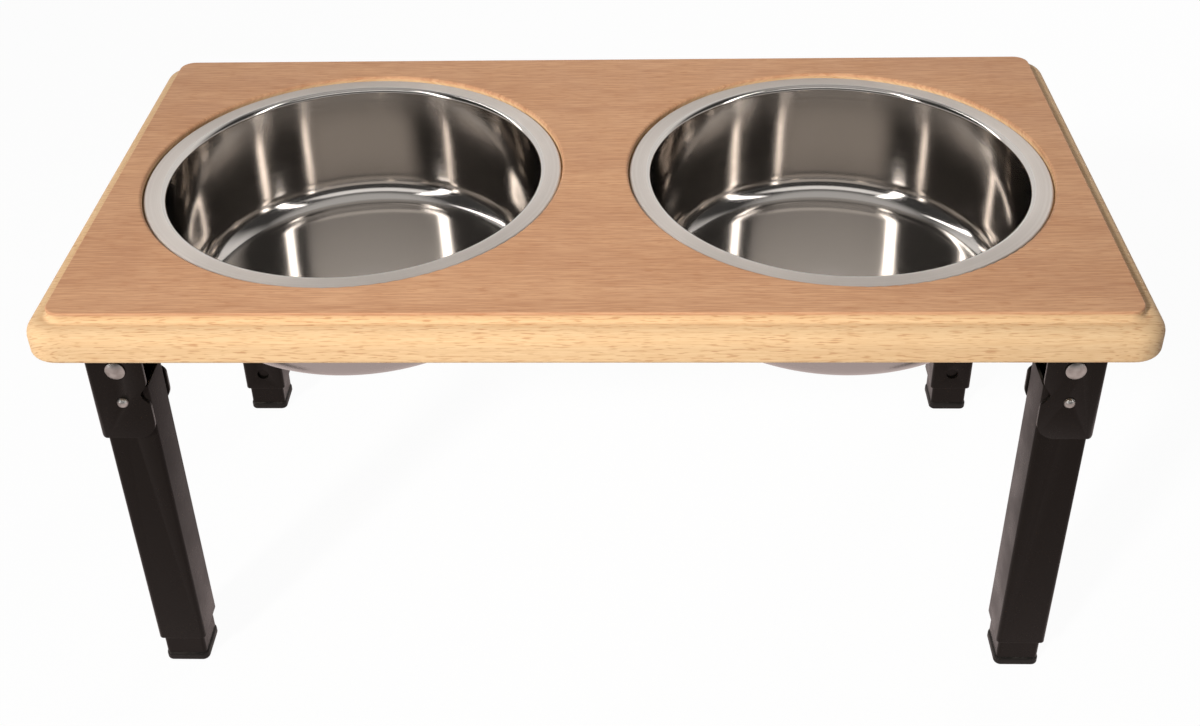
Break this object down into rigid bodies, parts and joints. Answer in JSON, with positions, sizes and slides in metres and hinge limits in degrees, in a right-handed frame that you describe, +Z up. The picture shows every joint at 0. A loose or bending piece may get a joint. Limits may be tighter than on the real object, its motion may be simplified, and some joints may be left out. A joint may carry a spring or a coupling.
{
  "type": "raised pet feeder",
  "caption": "Raised pet feeder: a wooden board with lift-out round steel bowls on folding, telescoping square-tube legs.",
  "frame": {"origin": "on the floor, under the middle of the board, with the legs down and at their shortest", "axes": "+X along the board, +Y towards its rear edge, +Z up"},
  "size_m": [0.524, 0.284, 0.241],
  "materials": {
    "board_beech": "foil-wrapped fibreboard with a satin beech print",
    "bowl_steel": "polished stainless inside, satin rim",
    "leg_black": "black satin powder coat",
    "rivet_steel": "bright zinc-plated rivets",
    "screw_steel": "zinc-plated screws",
    "spring_steel": "blued spring steel",
    "button_steel": "dark plated pin",
    "foot_plastic": "black moulded plastic"
  },
  "bodies": {
    "table": {"board": "board_beech", "base_bracket_front_left": "leg_black", "bracket_screws_front_left": "screw_steel", "pivot_rivet_front_left": "rivet_steel", "base_bracket_front_right": "leg_black", "bracket_screws_front_right": "screw_steel", "pivot_rivet_front_right": "rivet_steel", "base_bracket_rear_left": "leg_black", "bracket_screws_rear_left": "screw_steel", "pivot_rivet_rear_left": "rivet_steel", "base_bracket_rear_right": "leg_black", "bracket_screws_rear_right": "screw_steel", "pivot_rivet_rear_right": "rivet_steel"},
    "bowl_left": {"bowl_left": "bowl_steel"},
    "bowl_right": {"bowl_right": "bowl_steel"},
    "leg_front_left": {"leg_channel_front_left": "leg_black", "outer_tube_front_left": "leg_black", "tube_rivet_front_left": "rivet_steel"},
    "inner_leg_front_left": {"inner_tube_front_left": "leg_black", "foot_front_left": "foot_plastic", "button_spring_front_left": "spring_steel"},
    "button_front_left": {"snap_button_front_left": "button_steel"},
    "leg_front_right": {"leg_channel_front_right": "leg_black", "outer_tube_front_right": "leg_black", "tube_rivet_front_right": "rivet_steel"},
    "inner_leg_front_right": {"inner_tube_front_right": "leg_black", "foot_front_right": "foot_plastic", "button_spring_front_right": "spring_steel"},
    "button_front_right": {"snap_button_front_right": "button_steel"},
    "leg_rear_left": {"leg_channel_rear_left": "leg_black", "outer_tube_rear_left": "leg_black", "tube_rivet_rear_left": "rivet_steel"},
    "inner_leg_rear_left": {"inner_tube_rear_left": "leg_black", "foot_rear_left": "foot_plastic", "button_spring_rear_left": "spring_steel"},
    "button_rear_left": {"snap_button_rear_left": "button_steel"},
    "leg_rear_right": {"leg_channel_rear_right": "leg_black", "outer_tube_rear_right": "leg_black", "tube_rivet_rear_right": "rivet_steel"},
    "inner_leg_rear_right": {"inner_tube_rear_right": "leg_black", "foot_rear_right": "foot_plastic", "button_spring_rear_right": "spring_steel"},
    "button_rear_right": {"snap_button_rear_right": "button_steel"}
  },
  "joints": [
    {"name": "lift_out_left", "type": "slide", "parent": "table", "child": "bowl_left", "axis": [0, 0, 1], "range_m": [0, 0.08]},
    {"name": "lift_out_right", "type": "slide", "parent": "table", "child": "bowl_right", "axis": [0, 0, 1], "range_m": [0, 0.08]},
    {"name": "fold_front_left", "type": "hinge", "parent": "table", "child": "leg_front_left", "pos_m": [-0.2266, -0.1105, 0.2029], "axis": [0, -1, 0], "range_deg": [0, 90]},
    {"name": "extend_front_left", "type": "slide", "parent": "leg_front_left", "child": "inner_leg_front_left", "axis": [0, 0, 1], "range_m": [-0.12, 0]},
    {"name": "press_front_left", "type": "slide", "parent": "inner_leg_front_left", "child": "button_front_left", "axis": [0, -1, 0], "range_m": [0, 0.0032], "stiffness_N_per_m": 1000, "springref_m": -0.004, "deforming": ["button_spring_front_left"]},
    {"name": "fold_front_right", "type": "hinge", "parent": "table", "child": "leg_front_right", "pos_m": [0.2266, -0.1105, 0.2029], "axis": [0, 1, 0], "range_deg": [0, 90]},
    {"name": "extend_front_right", "type": "slide", "parent": "leg_front_right", "child": "inner_leg_front_right", "axis": [0, 0, 1], "range_m": [-0.12, 0]},
    {"name": "press_front_right", "type": "slide", "parent": "inner_leg_front_right", "child": "button_front_right", "axis": [0, -1, 0], "range_m": [0, 0.0032], "stiffness_N_per_m": 1000, "springref_m": -0.004, "deforming": ["button_spring_front_right"]},
    {"name": "fold_rear_left", "type": "hinge", "parent": "table", "child": "leg_rear_left", "pos_m": [-0.2266, 0.1105, 0.2029], "axis": [0, -1, 0], "range_deg": [0, 90]},
    {"name": "extend_rear_left", "type": "slide", "parent": "leg_rear_left", "child": "inner_leg_rear_left", "axis": [0, 0, 1], "range_m": [-0.12, 0]},
    {"name": "press_rear_left", "type": "slide", "parent": "inner_leg_rear_left", "child": "button_rear_left", "axis": [0, 1, 0], "range_m": [0, 0.0032], "stiffness_N_per_m": 1000, "springref_m": -0.004, "deforming": ["button_spring_rear_left"]},
    {"name": "fold_rear_right", "type": "hinge", "parent": "table", "child": "leg_rear_right", "pos_m": [0.2266, 0.1105, 0.2029], "axis": [0, 1, 0], "range_deg": [0, 90]},
    {"name": "extend_rear_right", "type": "slide", "parent": "leg_rear_right", "child": "inner_leg_rear_right", "axis": [0, 0, 1], "range_m": [-0.12, 0]},
    {"name": "press_rear_right", "type": "slide", "parent": "inner_leg_rear_right", "child": "button_rear_right", "axis": [0, 1, 0], "range_m": [0, 0.0032], "stiffness_N_per_m": 1000, "springref_m": -0.004, "deforming": ["button_spring_rear_right"]}
  ]
}
